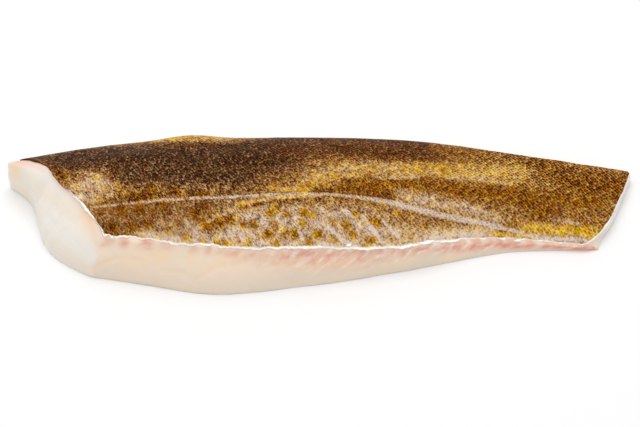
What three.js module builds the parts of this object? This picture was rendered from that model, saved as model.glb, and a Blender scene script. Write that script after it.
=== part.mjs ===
// A skin-on cod loin: the thick back piece of a cod fillet, lying with its skin up.
// The flesh is one solid with a flat base. The skin is a thin sheet over its top that shows at every cut.
// Millimetres, +Z up. +X points to the tail, +Y to the back of the fish, and the origin is under the middle.
import * as THREE from "three";
import { ParametricGeometry } from "three/addons/geometries/ParametricGeometry.js";
import { mergeGeometries, mergeVertices } from "three/addons/utils/BufferGeometryUtils.js";

// Driving dimensions
const LENGTH = 400;
const WIDTH = 118;
const THICKNESS = 40;
const SKIN_THICKNESS = 1.3;
const SKIN_GAP = 0.3;

// Plan of the skin's cut edge, as shares of LENGTH and WIDTH from the middle.
// The front is the belly-side cut, the back is the dorsal edge, and head and tail are the two end cuts.
const SKIN_PLAN = {
  corners: {
    frontHead: [-0.3275, -0.326],
    frontTail: [0.41, -0.199],
    backHead: [-0.475, 0.288],
    backTail: [0.4985, 0.331],
  },
  front: [[-0.24, -0.373], [-0.145, -0.407], [0, -0.356], [0.145, -0.286], [0.2825, -0.19]],
  back: [[-0.325, 0.403], [-0.1625, 0.453], [0, 0.487], [0.1625, 0.496], [0.325, 0.436]],
  head: [[-0.355, -0.169], [-0.399, -0.008], [-0.428, 0.153]],
  tail: [[0.4375, -0.11], [0.465, 0.059]],
};

// Plan of the flesh at its widest, close to the ground: it leans out past the skin at the front and the head.
const FOOT_PLAN = {
  corners: {
    frontHead: [-0.355, -0.38],
    frontTail: [0.4325, -0.19],
    backHead: [-0.5, 0.271],
    backTail: [0.5, 0.319],
  },
  front: [[-0.26, -0.443], [-0.155, -0.508], [0, -0.439], [0.145, -0.33], [0.2875, -0.21]],
  back: [[-0.325, 0.373], [-0.1625, 0.424], [0, 0.458], [0.1625, 0.475], [0.325, 0.424]],
  head: [[-0.412, -0.235], [-0.4385, -0.059], [-0.4565, 0.14]],
  tail: [[0.4435, -0.093], [0.467, 0.068]],
};

// Heights of the skin from head to tail, as shares of THICKNESS: at the front cut, the crest and the back.
const FRONT_HEIGHTS = [0.675, 0.738, 0.725, 0.6, 0.438, 0.205, 0.145];
const CREST_HEIGHTS = [0.96, 1, 0.985, 0.888, 0.7, 0.425, 0.225];
const BACK_HEIGHTS = [0.6, 0.612, 0.6, 0.538, 0.425, 0.288, 0.188];
const CREST_AT = 0.52;

// The shallow crease of the lateral line, in shares of the width from the front cut, from head to tail.
const CREASE_LINE = [0.25, 0.31, 0.4, 0.435, 0.34, 0.18, 0];
const CREASE_DEPTH = 0.8;
const CREASE_HALF_WIDTH = 0.05;

// The stub of the cut-off back fin, a low swelling of the back edge.
const FIN_AT = 0.27;
const FIN_HALF_LENGTH = 0.06;
const FIN_HEIGHT = 2.8;
const FIN_REACH = 0.12;

// The flesh's sides: how round the shoulder under the skin is, and how the foot turns in to the ground.
const HEAD_SHOULDER = 1.8;
const LOBE_SHOULDER = 12;
const SIDE_SHOULDER = 1.3;
const HEAD_END = 0.07;
const LOBE_FROM = 0.6;
const FOOT_INSET = 3;
const FOOT_ROUND = 0.2;

// Flakes that show as low waves on the cut sides.
const FLAKE_PITCH = 27;
const FLAKE_SLANT = 0.8;
const FLAKE_RELIEF = 0.5;

// Grid of the sheets
const COLUMNS = 64;
const ROWS = 12;
const WALL_ROWS = 8;
const WELD = 0.001;

// A smooth curve in plan through the points, given as shares of LENGTH and WIDTH.
function planCurve(shares) {
  return new THREE.SplineCurve(shares.map(([x, y]) => new THREE.Vector2(x * LENGTH, y * WIDTH)));
}

// A smooth curve through evenly spaced values: the function gives the value at a share of the way along.
function smoothRun(values) {
  const curve = new THREE.SplineCurve(values.map((value, i) => new THREE.Vector2(i, value)));
  return (share) => curve.getPoint(share).y;
}

// Fills the space between four border curves (a Coons patch). u runs from head to tail, v from front to back.
function planPatch({ corners, front, back, head, tail }) {
  const { frontHead, frontTail, backHead, backTail } = corners;
  const frontCurve = planCurve([frontHead, ...front, frontTail]);
  const backCurve = planCurve([backHead, ...back, backTail]);
  const headCurve = planCurve([frontHead, ...head, backHead]);
  const tailCurve = planCurve([frontTail, ...tail, backTail]);
  return (u, v) => {
    const lengthways = frontCurve.getPoint(u).lerp(backCurve.getPoint(u), v);
    const crossways = headCurve.getPoint(v).lerp(tailCurve.getPoint(v), u);
    const nearFront = headCurve.getPoint(0).lerp(tailCurve.getPoint(0), u);
    const nearBack = headCurve.getPoint(1).lerp(tailCurve.getPoint(1), u);
    return lengthways.add(crossways).sub(nearFront.lerp(nearBack, v));
  };
}

const skinPlan = planPatch(SKIN_PLAN);
const footPlan = planPatch(FOOT_PLAN);
const frontHeight = smoothRun(FRONT_HEIGHTS);
const crestHeight = smoothRun(CREST_HEIGHTS);
const backHeight = smoothRun(BACK_HEIGHTS);
const creaseLine = smoothRun(CREASE_LINE);

// A bell that is 1 at zero and fades within about two half-widths.
function bell(offset, halfWidth) {
  return Math.exp(-((offset / halfWidth) ** 2));
}

// Height of the skin: it rises from the front cut to the crest and falls to the back, each as a parabola.
function skinHeight(u, v) {
  const rising = v < CREST_AT;
  const low = rising ? frontHeight(u) : backHeight(u);
  const toCrest = rising ? v / CREST_AT : (1 - v) / (1 - CREST_AT);
  const arch = low + (crestHeight(u) - low) * (1 - (1 - toCrest) ** 2);
  const crease = CREASE_DEPTH * bell(v - creaseLine(u), CREASE_HALF_WIDTH);
  return arch * THICKNESS - crease;
}

// A point of the skin's outer face. The fin stub lifts the back edge and pushes it outwards.
function skinOuter(u, v) {
  const { x, y } = skinPlan(u, v);
  const stub = FIN_HEIGHT * bell(u - FIN_AT, FIN_HALF_LENGTH) * bell(1 - v, FIN_REACH);
  return new THREE.Vector3(x, y + stub / 2, skinHeight(u, v) + stub);
}

function skinInner(u, v) {
  const point = skinOuter(u, v);
  point.z -= SKIN_THICKNESS;
  return point;
}

// The flesh's top follows the skin's inner face, a hair's breadth below it.
function fleshTop(u, v) {
  const point = skinInner(u, v);
  point.z -= SKIN_GAP;
  return point;
}

// Where the flesh meets the ground: the foot's plan, drawn in a little all round.
function groundContact(u, v) {
  const insetU = FOOT_INSET / LENGTH;
  const insetV = FOOT_INSET / WIDTH;
  return footPlan(THREE.MathUtils.lerp(insetU, 1 - insetU, u), THREE.MathUtils.lerp(insetV, 1 - insetV, v));
}

// How fast the side swells out under the skin: slowly on the sides, faster at the head, most at its lobe.
function shoulder(u, v) {
  const headShare = 1 - THREE.MathUtils.smoothstep(u, 0, HEAD_END);
  const lobeShare = THREE.MathUtils.smoothstep(v, LOBE_FROM, 1);
  const atHead = THREE.MathUtils.lerp(HEAD_SHOULDER, LOBE_SHOULDER, lobeShare);
  return THREE.MathUtils.lerp(SIDE_SHOULDER, atHead, headShare);
}

// A point on the flesh's side, from the ground (height 0) to the skin (height 1).
// It swells out under the skin towards the foot, and at the bottom it turns in as a quarter round.
function fleshSide(u, v, height) {
  const edge = fleshTop(u, v);
  const foot = footPlan(u, v);
  const contact = groundContact(u, v);
  const inwards = contact.clone().sub(foot);
  const swell = 1 - height ** shoulder(u, v);
  const turn = Math.max(0, 1 - height / FOOT_ROUND);
  const turnedIn = 1 - Math.sqrt(1 - turn * turn);
  const wave = Math.sin(2 * Math.PI * ((u * LENGTH) / FLAKE_PITCH + FLAKE_SLANT * height));
  const flake = (FLAKE_RELIEF / FOOT_INSET) * wave * Math.sin(Math.PI * height);
  const plan = new THREE.Vector2(edge.x, edge.y).lerp(foot, swell);
  plan.addScaledVector(inwards, turnedIn + flake);
  return new THREE.Vector3(plan.x, plan.y, edge.z * height);
}

// Walks once round the border of the sheet, anticlockwise from above, starting at the front head corner.
function border(share) {
  const step = share * 2 * (COLUMNS + ROWS);
  if (step <= COLUMNS) {
    return [step / COLUMNS, 0];
  }
  if (step <= COLUMNS + ROWS) {
    return [1, (step - COLUMNS) / ROWS];
  }
  if (step <= 2 * COLUMNS + ROWS) {
    return [(2 * COLUMNS + ROWS - step) / COLUMNS, 1];
  }
  return [0, (2 * (COLUMNS + ROWS) - step) / ROWS];
}

// A sheet over the whole plan, with its faces up.
function sheet(surface) {
  return new ParametricGeometry((u, v, target) => target.copy(surface(u, v)), COLUMNS, ROWS);
}

// A wall round the whole border, with its faces out. Its rows lie closer together near the top and bottom.
function wall(surface, rows) {
  const place = (share, rise, target) => {
    const [u, v] = border(share);
    return target.copy(surface(u, v, (1 - Math.cos(Math.PI * rise)) / 2));
  };
  return new ParametricGeometry(place, 2 * (COLUMNS + ROWS), rows);
}

// The flat base inside the ground contact, with its faces up.
function base() {
  const steps = 2 * (COLUMNS + ROWS);
  const outline = Array.from({ length: steps }, (_, step) => groundContact(...border(step / steps)));
  return new THREE.ShapeGeometry(new THREE.Shape(outline));
}

// Turns a sheet over, so that its faces point the other way.
function turnedOver(geometry) {
  const { index } = geometry;
  for (let i = 0; i < index.count; i += 3) {
    const first = index.getX(i);
    index.setX(i, index.getX(i + 2));
    index.setX(i + 2, first);
  }
  return geometry;
}

// Welds sheets that share their borders into one closed solid.
function solid(name, sheets, material) {
  const merged = mergeGeometries(sheets);
  merged.deleteAttribute("normal");
  merged.deleteAttribute("uv");
  const geometry = mergeVertices(merged, WELD);
  geometry.computeVertexNormals();
  const mesh = new THREE.Mesh(geometry, material);
  mesh.name = name;
  return mesh;
}

const rawFlesh = new THREE.MeshStandardMaterial({ color: "#e6d8c6", roughness: 0.4, metalness: 0 });
const fishSkin = new THREE.MeshStandardMaterial({ color: "#6b4a26", roughness: 0.35, metalness: 0 });

const flesh = solid("flesh", [sheet(fleshTop), wall(fleshSide, WALL_ROWS), turnedOver(base())], rawFlesh);

const skinRim = (u, v, height) => skinInner(u, v).lerp(skinOuter(u, v), height);
const skin = solid("skin", [sheet(skinOuter), wall(skinRim, 1), turnedOver(sheet(skinInner))], fishSkin);

const loin = new THREE.Group();
loin.name = "cod_loin";
loin.add(flesh, skin);

export default loin;
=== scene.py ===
"""Dresses a raw skin-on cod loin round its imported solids: moist flesh, scaly skin, torn scraps and a stage.

Every surface is a function of two shares: u runs from the head end (0) to the tail (1), and v from the
front cut (0) to the back of the fish (1). Sides use a height share from the ground (0) to the skin (1).
Lengths are metres, +X points to the tail, +Y to the back of the fish and +Z up.
"""

import functools
import math

import bpy
import numpy as np
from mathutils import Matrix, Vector


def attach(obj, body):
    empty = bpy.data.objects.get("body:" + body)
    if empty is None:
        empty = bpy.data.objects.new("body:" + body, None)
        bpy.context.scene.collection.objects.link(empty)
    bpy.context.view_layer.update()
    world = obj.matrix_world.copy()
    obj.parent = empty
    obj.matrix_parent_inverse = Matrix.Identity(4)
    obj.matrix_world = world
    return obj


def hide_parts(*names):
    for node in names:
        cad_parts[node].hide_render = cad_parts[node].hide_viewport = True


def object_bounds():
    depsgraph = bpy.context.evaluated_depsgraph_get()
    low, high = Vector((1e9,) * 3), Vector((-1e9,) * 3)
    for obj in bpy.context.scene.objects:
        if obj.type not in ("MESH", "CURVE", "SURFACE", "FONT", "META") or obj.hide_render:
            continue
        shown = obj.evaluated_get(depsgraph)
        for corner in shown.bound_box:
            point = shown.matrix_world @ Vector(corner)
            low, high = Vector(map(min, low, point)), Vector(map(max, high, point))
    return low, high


bl_info = {
    "name": "Skin-on cod loin",
    "version": (1, 0, 0),
    "blender": (4, 5, 0),
    "location": "View3D > Sidebar > Cod loin",
    "description": "Makes the flesh, the skin and the torn scraps of a raw cod loin, and a plain stage",
    "category": "Object",
}

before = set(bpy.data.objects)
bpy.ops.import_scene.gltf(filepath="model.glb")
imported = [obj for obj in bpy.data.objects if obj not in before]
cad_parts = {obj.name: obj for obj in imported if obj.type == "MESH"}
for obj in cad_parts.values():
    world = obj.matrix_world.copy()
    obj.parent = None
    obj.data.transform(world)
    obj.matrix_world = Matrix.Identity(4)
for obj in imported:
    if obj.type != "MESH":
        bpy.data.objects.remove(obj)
CAD_LOW, CAD_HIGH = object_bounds()
MM = 0.001


def linear(hex_colour):
    """Turns an sRGB hex colour into linear red, green and blue, by the sRGB curve."""
    shares = np.array([int(hex_colour[i:i + 2], 16) for i in (1, 3, 5)]) / 255
    low = shares / 12.92
    high = ((shares + 0.055) / 1.055) ** 2.4
    return tuple(float(x) for x in np.where(shares <= 0.04045, low, high))


def length(name, description, default):
    """A length that the user can change, in metres."""
    return bpy.props.FloatProperty(
        name=name, description=description, default=default, min=0.0, precision=4,
        unit="LENGTH", subtype="DISTANCE")


def colour(name, description, hex_colour):
    """A colour that the user can change, given as sRGB hex and kept linear."""
    return bpy.props.FloatVectorProperty(
        name=name, description=description, default=linear(hex_colour), min=0.0, max=1.0,
        size=3, subtype="COLOR")


class LoinSizes(bpy.types.PropertyGroup):
    """Sizes of the loin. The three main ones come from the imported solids."""

    length: length("Length", "From the head end's lobe to the tail cut", CAD_HIGH.x - CAD_LOW.x)
    width: length("Width", "From the front cut's foot to the back edge", CAD_HIGH.y - CAD_LOW.y)
    thickness: length("Thickness", "From the ground to the crest", CAD_HIGH.z - CAD_LOW.z)
    skin: length("Skin thickness", "Thickness of the skin with its white underside", 1.3 * MM)
    scale_pitch: length("Scale pitch", "Distance between neighbouring scales", 1.9 * MM)
    spot_pitch: length("Spot pitch", "Distance between the belly's golden spots", 9 * MM)
    flake_pitch: length("Flake pitch", "Distance between the flakes at the front cut", 12.0 * MM)


class LoinColours(bpy.types.PropertyGroup):
    """Colours of the flesh and the skin."""

    cream: colour("Cream flesh", "Flesh of the front cut", "#f0dcc6")
    # Painted shade: the flesh darkens to this colour towards the foot.
    shaded_beige: colour("Beige flesh", "Lowest flesh of the front cut", "#decfbd")
    # Partly painted light: the end cuts are whitened with this colour, besides being milkier than the long
    # cuts.
    milky_and_lit: colour("Milky flesh", "Flesh of the two end cuts", "#e9e4db")
    pink: colour("Pink flesh", "Blood-tinted flesh under the skin", "#dd9a86")
    peach: colour("Peach flesh", "Warm tint of thin flesh", "#f3d8b4")
    membrane: colour("Membrane", "White sheets between the flakes, and the cut edge of the skin", "#fbf6ef")
    silver: colour("Silver", "Lateral line and pale streaks", "#cdbbae")


# Form of the loin, close to the outlines of the solids

# Plan of the skin's cut edge and of the flesh's foot, as shares of the length and width from the middle.
SKIN_PLAN = {
    "front": ((-0.3275, -0.326), (-0.24, -0.373), (-0.145, -0.407), (0, -0.356), (0.145, -0.286),
              (0.2825, -0.19), (0.41, -0.199)),
    "back": ((-0.475, 0.288), (-0.325, 0.403), (-0.1625, 0.453), (0, 0.487), (0.1625, 0.496),
             (0.325, 0.436), (0.4985, 0.343)),
    "head": ((-0.3275, -0.326), (-0.355, -0.169), (-0.399, -0.008), (-0.428, 0.153), (-0.475, 0.288)),
    "tail": ((0.41, -0.199), (0.4375, -0.11), (0.465, 0.059), (0.4985, 0.343)),
}
FOOT_PLAN = {
    "front": ((-0.355, -0.38), (-0.26, -0.443), (-0.155, -0.508), (0, -0.439), (0.145, -0.33),
              (0.2875, -0.21), (0.4325, -0.19)),
    "back": ((-0.5, 0.29), (-0.325, 0.373), (-0.1625, 0.424), (0, 0.458), (0.1625, 0.475),
             (0.325, 0.424), (0.5, 0.331)),
    "head": ((-0.355, -0.38), (-0.412, -0.235), (-0.4385, -0.059), (-0.4565, 0.14), (-0.5, 0.29)),
    "tail": ((0.4325, -0.19), (0.4435, -0.093), (0.467, 0.068), (0.5, 0.331)),
}

# Heights of the skin from head to tail, as shares of the thickness.
FRONT_HEIGHTS = (0.675, 0.738, 0.725, 0.6, 0.438, 0.205, 0.145)
CREST_HEIGHTS = (0.96, 1, 0.985, 0.888, 0.7, 0.425, 0.225)
BACK_HEIGHTS = (0.6, 0.612, 0.6, 0.538, 0.425, 0.288, 0.188)
CREST_AT = 0.52

# Crease of the lateral line, and stub of the cut-off fin at the back edge.
CREASE_LINE = (0.25, 0.31, 0.4, 0.435, 0.34, 0.18, 0)
CREASE_DEPTH = 0.8 * MM
CREASE_HALF_WIDTH = 0.05
FIN_AT = 0.288
FIN_HALF_LENGTH = 0.052
FIN_HEIGHT = 2.8 * MM
FIN_REACH = 0.12

# Sides of the flesh: how fast they swell out under the skin, and how the foot turns in to the ground.
HEAD_SHOULDER = 1.8
LOBE_SHOULDER = 30
SIDE_SHOULDER = 1.3
HEAD_END = 0.07
LOBE_FROM = 0.6
FOOT_INSET = 1.2 * MM
FOOT_ROUND = 0.1
FLESH_GAP = 0.05 * MM

# Rounded corners in plan. Those of the head end reach their full radius within a share of the height. Where a
# corner is sharp, a least reach keeps the division safe.
CORNER_ROUND = 14 * MM
CORNER_WITHIN = 0.25
LOBE_ROUND = 6 * MM
LOBE_WITHIN = 0.06
TAIL_ROUND = 7 * MM
LEAST_REACH = 1e-9

# Grids, as columns along, rows across and rows down the side.
SKIN_GRID = (400, 104, 5)
FLESH_GRID = (300, 80, 44)


def spline(points, share):
    """Uniform Catmull-Rom curve with held ends: a cubic in each span, through every point."""
    table = np.asarray(points, float)
    spans = len(table) - 1
    place = np.clip(share, 0, 1) * spans
    span = np.clip(np.floor(place).astype(int), 0, spans - 1)
    local = place - span
    if table.ndim == 2:
        local = local[..., None]
    before, start = table[np.maximum(span - 1, 0)], table[span]
    end, after = table[span + 1], table[np.minimum(span + 2, spans)]
    leave, arrive = (end - before) / 2, (after - start) / 2
    cubic = 2 * start - 2 * end + leave + arrive
    square = 3 * end - 3 * start - 2 * leave - arrive
    return ((cubic * local + square) * local + leave) * local + start


def smoothstep(value, low, high):
    """0 below low, 1 above high, and a smooth cubic between them."""
    share = np.clip((value - low) / (high - low), 0, 1)
    return share * share * (3 - 2 * share)


def mix(first, second, share):
    """Goes straight from first to second as the share goes from 0 to 1."""
    return first + (second - first) * share


def bell(offset, half_width):
    """A Gauss bell: 1 at zero, fading within about two half-widths."""
    return np.exp(-(offset / half_width) ** 2)


def ripples(x, y, wavelength, seed, waves=9):
    """Smooth seeded unevenness, mostly between -1 and 1: a scaled sum of sine waves in random directions."""
    draw = np.random.default_rng(seed)
    total = np.zeros(np.broadcast(x, y).shape)
    for turn, stretch, phase in draw.uniform((0, 0.7, 0), (2 * np.pi, 1.5, 2 * np.pi), (waves, 3)):
        along = x * np.cos(turn) + y * np.sin(turn)
        total += np.sin(2 * np.pi * along * stretch / wavelength + phase)
    return total / math.sqrt(waves)


def rough(x, y, waves):
    """Adds up ripples, each given as its height, its wavelength in millimetres and its seed."""
    return sum(height * ripples(x, y, wavelength * MM, seed) for height, wavelength, seed in waves)


def plan_patch(plan, u, v, sizes):
    """Coons patch: the two blends of facing borders added, less the blend of the four corners."""
    span = np.array((sizes.length, sizes.width))
    front, back = spline(plan["front"], u), spline(plan["back"], u)
    head, tail = spline(plan["head"], v), spline(plan["tail"], v)
    along, across = u[..., None], v[..., None]
    low = mix(np.array(plan["front"][0]), np.array(plan["front"][-1]), along)
    high = mix(np.array(plan["back"][0]), np.array(plan["back"][-1]), along)
    return (mix(front, back, across) + mix(head, tail, along) - mix(low, high, across)) * span


def skin_height(u, v, sizes):
    """Rises from the front cut to the crest and falls to the back, each as a parabola, less the crease."""
    crest = spline(CREST_HEIGHTS, u)
    low = np.where(v < CREST_AT, spline(FRONT_HEIGHTS, u), spline(BACK_HEIGHTS, u))
    to_crest = np.where(v < CREST_AT, v / CREST_AT, (1 - v) / (1 - CREST_AT))
    arch = mix(low, crest, 1 - (1 - to_crest) ** 2) * sizes.thickness
    return arch - CREASE_DEPTH * bell(v - spline(CREASE_LINE, u), CREASE_HALF_WIDTH)


def skin_base(u, v, sizes):
    """The plain outer face of the skin: plan patch and height, with the fin stub lifted and pushed out."""
    plan = plan_patch(SKIN_PLAN, u, v, sizes)
    stub = FIN_HEIGHT * bell(u - FIN_AT, FIN_HALF_LENGTH) * bell(1 - v, FIN_REACH)
    return np.stack((plan[..., 0], plan[..., 1] + stub / 2, skin_height(u, v, sizes) + stub), -1)


def rounded_corner(u, v, radius, sizes):
    """Moves shares near the corner at (0, 0) inwards, so that the border goes round it in a quarter circle.

    The square of the radius at the corner is mapped to a quarter disc, and all other shares stay."""
    reach_u, reach_v = radius / sizes.length, radius / sizes.width
    left = np.clip(1 - u / np.maximum(reach_u, LEAST_REACH), 0, 1)
    near = np.clip(1 - v / np.maximum(reach_v, LEAST_REACH), 0, 1)
    moved_u = u + reach_u * left * (1 - np.sqrt(1 - near ** 2 / 2))
    moved_v = v + reach_v * near * (1 - np.sqrt(1 - left ** 2 / 2))
    return moved_u, moved_v


def rounded_head(u, v, below, sizes):
    """Rounds both corners of the head end in plan, more the further below the skin they are."""
    u, v = rounded_corner(u, v, CORNER_ROUND * smoothstep(below, 0, CORNER_WITHIN), sizes)
    u, from_back = rounded_corner(u, 1 - v, LOBE_ROUND * smoothstep(below, 0, LOBE_WITHIN), sizes)
    return u, 1 - from_back


def rounded_tail(u, v, sizes):
    """Rounds the back corner of the tail end in plan."""
    from_tail, from_back = rounded_corner(1 - u, 1 - v, TAIL_ROUND, sizes)
    return 1 - from_tail, 1 - from_back


def ground_contact(u, v, sizes):
    """The foot's plan, drawn in a little all round."""
    inset_u, inset_v = FOOT_INSET / sizes.length, FOOT_INSET / sizes.width
    return plan_patch(FOOT_PLAN, mix(inset_u, 1 - inset_u, u), mix(inset_v, 1 - inset_v, v), sizes)


def outwards(u, v, sizes):
    """Unit vectors in plan that point out of the loin, from the ground contact to the foot."""
    step = plan_patch(FOOT_PLAN, u, v, sizes) - ground_contact(u, v, sizes)
    return step / np.linalg.norm(step, axis=-1, keepdims=True)


def flesh_side(u, v, height, sizes):
    """From the skin's edge out to the foot by a power curve, then in to the ground as a quarter round.

    The corners of the head end are sharp under the skin and round off below it."""
    u, v = rounded_head(u, v, 1 - height, sizes)
    edge = skin_base(u, v, sizes)
    edge[..., 2] -= sizes.skin + FLESH_GAP
    foot = plan_patch(FOOT_PLAN, u, v, sizes)
    inwards = ground_contact(u, v, sizes) - foot
    at_head = mix(HEAD_SHOULDER, LOBE_SHOULDER, smoothstep(v, LOBE_FROM, 1))
    power = mix(at_head, SIDE_SHOULDER, smoothstep(u, 0, HEAD_END))
    swell = (1 - height ** power)[..., None]
    turn = np.maximum(0, 1 - height / FOOT_ROUND)
    turned_in = (1 - np.sqrt(1 - turn ** 2))[..., None]
    plan = mix(edge[..., :2], foot, swell) + inwards * turned_in
    return np.concatenate((plan, (edge[..., 2] * height)[..., None]), -1)


# Mesh making


def grid(columns, rows):
    """Shares u and v over the whole sheet, as two arrays of rows by columns."""
    return np.meshgrid(np.linspace(0, 1, columns + 1), np.linspace(0, 1, rows + 1))


def border(columns, rows):
    """Numbers of the sheet's border points, anticlockwise from above, starting at the front head corner."""
    number = np.arange((rows + 1) * (columns + 1)).reshape(rows + 1, columns + 1)
    return np.concatenate((number[0, :-1], number[:-1, -1], number[-1, :0:-1], number[:0:-1, 0]))


def shell(top, side, bottom):
    """Closes a top sheet, a side band of rows going down and a bottom sheet into one skin of quads.

    Returns the points as one list and the quads: sheets by rows and columns, the band round the border."""
    rows, columns = top.shape[0] - 1, top.shape[1] - 1
    number = np.arange(top.shape[0] * top.shape[1]).reshape(top.shape[:2])
    sheet = np.stack((number[:-1, :-1], number[:-1, 1:], number[1:, 1:], number[1:, :-1]), -1).reshape(-1, 4)
    edge = border(columns, rows)
    band = number.size + np.arange(side.shape[0] * side.shape[1]).reshape(side.shape[:2])
    below = number.size + band.size
    rings = np.concatenate((edge[None], band, edge[None] + below))
    after = np.roll(rings, -1, 1)
    wall = np.stack((rings[:-1], rings[1:], after[1:], after[:-1]), -1).reshape(-1, 4)
    points = np.concatenate([part.reshape(-1, part.shape[-1]) for part in (top, side, bottom)])
    return points, np.concatenate((sheet, wall, sheet[:, ::-1] + below))


def joined(top, side, bottom):
    """Puts values for the three parts of a shell in the order of its points."""
    return np.concatenate([np.asarray(part, float).ravel() for part in (top, side, bottom)])


def round_edge(field, edge, rows):
    """Repeats a sheet's values at its border for each row of a side band."""
    return np.repeat(field.reshape(-1, *field.shape[2:])[edge][None], rows, 0)


def new_piece(name, points, quads, attributes, material):
    """Makes a smooth mesh object at the origin, with vector and colour attributes on its points."""
    mesh = bpy.data.meshes.new(name)
    mesh.vertices.add(len(points))
    mesh.vertices.foreach_set("co", points.astype(np.float32).ravel())
    mesh.loops.add(quads.size)
    mesh.loops.foreach_set("vertex_index", quads.astype(np.int32).ravel())
    mesh.polygons.add(len(quads))
    mesh.polygons.foreach_set("loop_start", np.arange(0, quads.size, 4, dtype=np.int32))
    mesh.polygons.foreach_set("use_smooth", np.ones(len(quads), bool))
    mesh.update(calc_edges=True)
    for key, values in attributes.items():
        kind, field = ("FLOAT_VECTOR", "vector") if values.shape[1] == 3 else ("FLOAT_COLOR", "color")
        attribute = mesh.attributes.new(key, kind, "POINT")
        attribute.data.foreach_set(field, values.astype(np.float32).ravel())
    if mesh.validate():
        raise RuntimeError(f"the mesh of {name} has faults")
    piece = bpy.data.objects.new(name, mesh)
    bpy.context.scene.collection.objects.link(piece)
    mesh.materials.append(material)
    return piece


def add_node(tree, kind, inputs=None, stops=None, **settings):
    """Adds a shader node, sets its settings and colour stops, and links or sets its inputs by name or number.

    Returns the node's outputs."""
    node = tree.nodes.new(f"ShaderNode{kind}")
    for key, value in settings.items():
        setattr(node, key, value)
    for key, value in (inputs or {}).items():
        if isinstance(value, bpy.types.NodeSocket):
            tree.links.new(value, node.inputs[key])
        else:
            node.inputs[key].default_value = value
    if stops:
        elements = node.color_ramp.elements
        for position, _ in stops[len(elements):]:
            elements.new(position)
        for element, (position, stop) in zip(elements, stops):
            element.position = position
            element.color = (*linear(stop), 1)
    return node.outputs


# Numbers of a mix node's colour sockets: its two inputs and its output.
MIX_FIRST, MIX_SECOND, MIX_RESULT = 6, 7, 2


def new_material(name):
    """An empty material, and the function that adds nodes to it."""
    material = bpy.data.materials.new(name)
    material.use_nodes = True
    material.node_tree.nodes.clear()
    return material, functools.partial(add_node, material.node_tree)


# Skin

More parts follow.
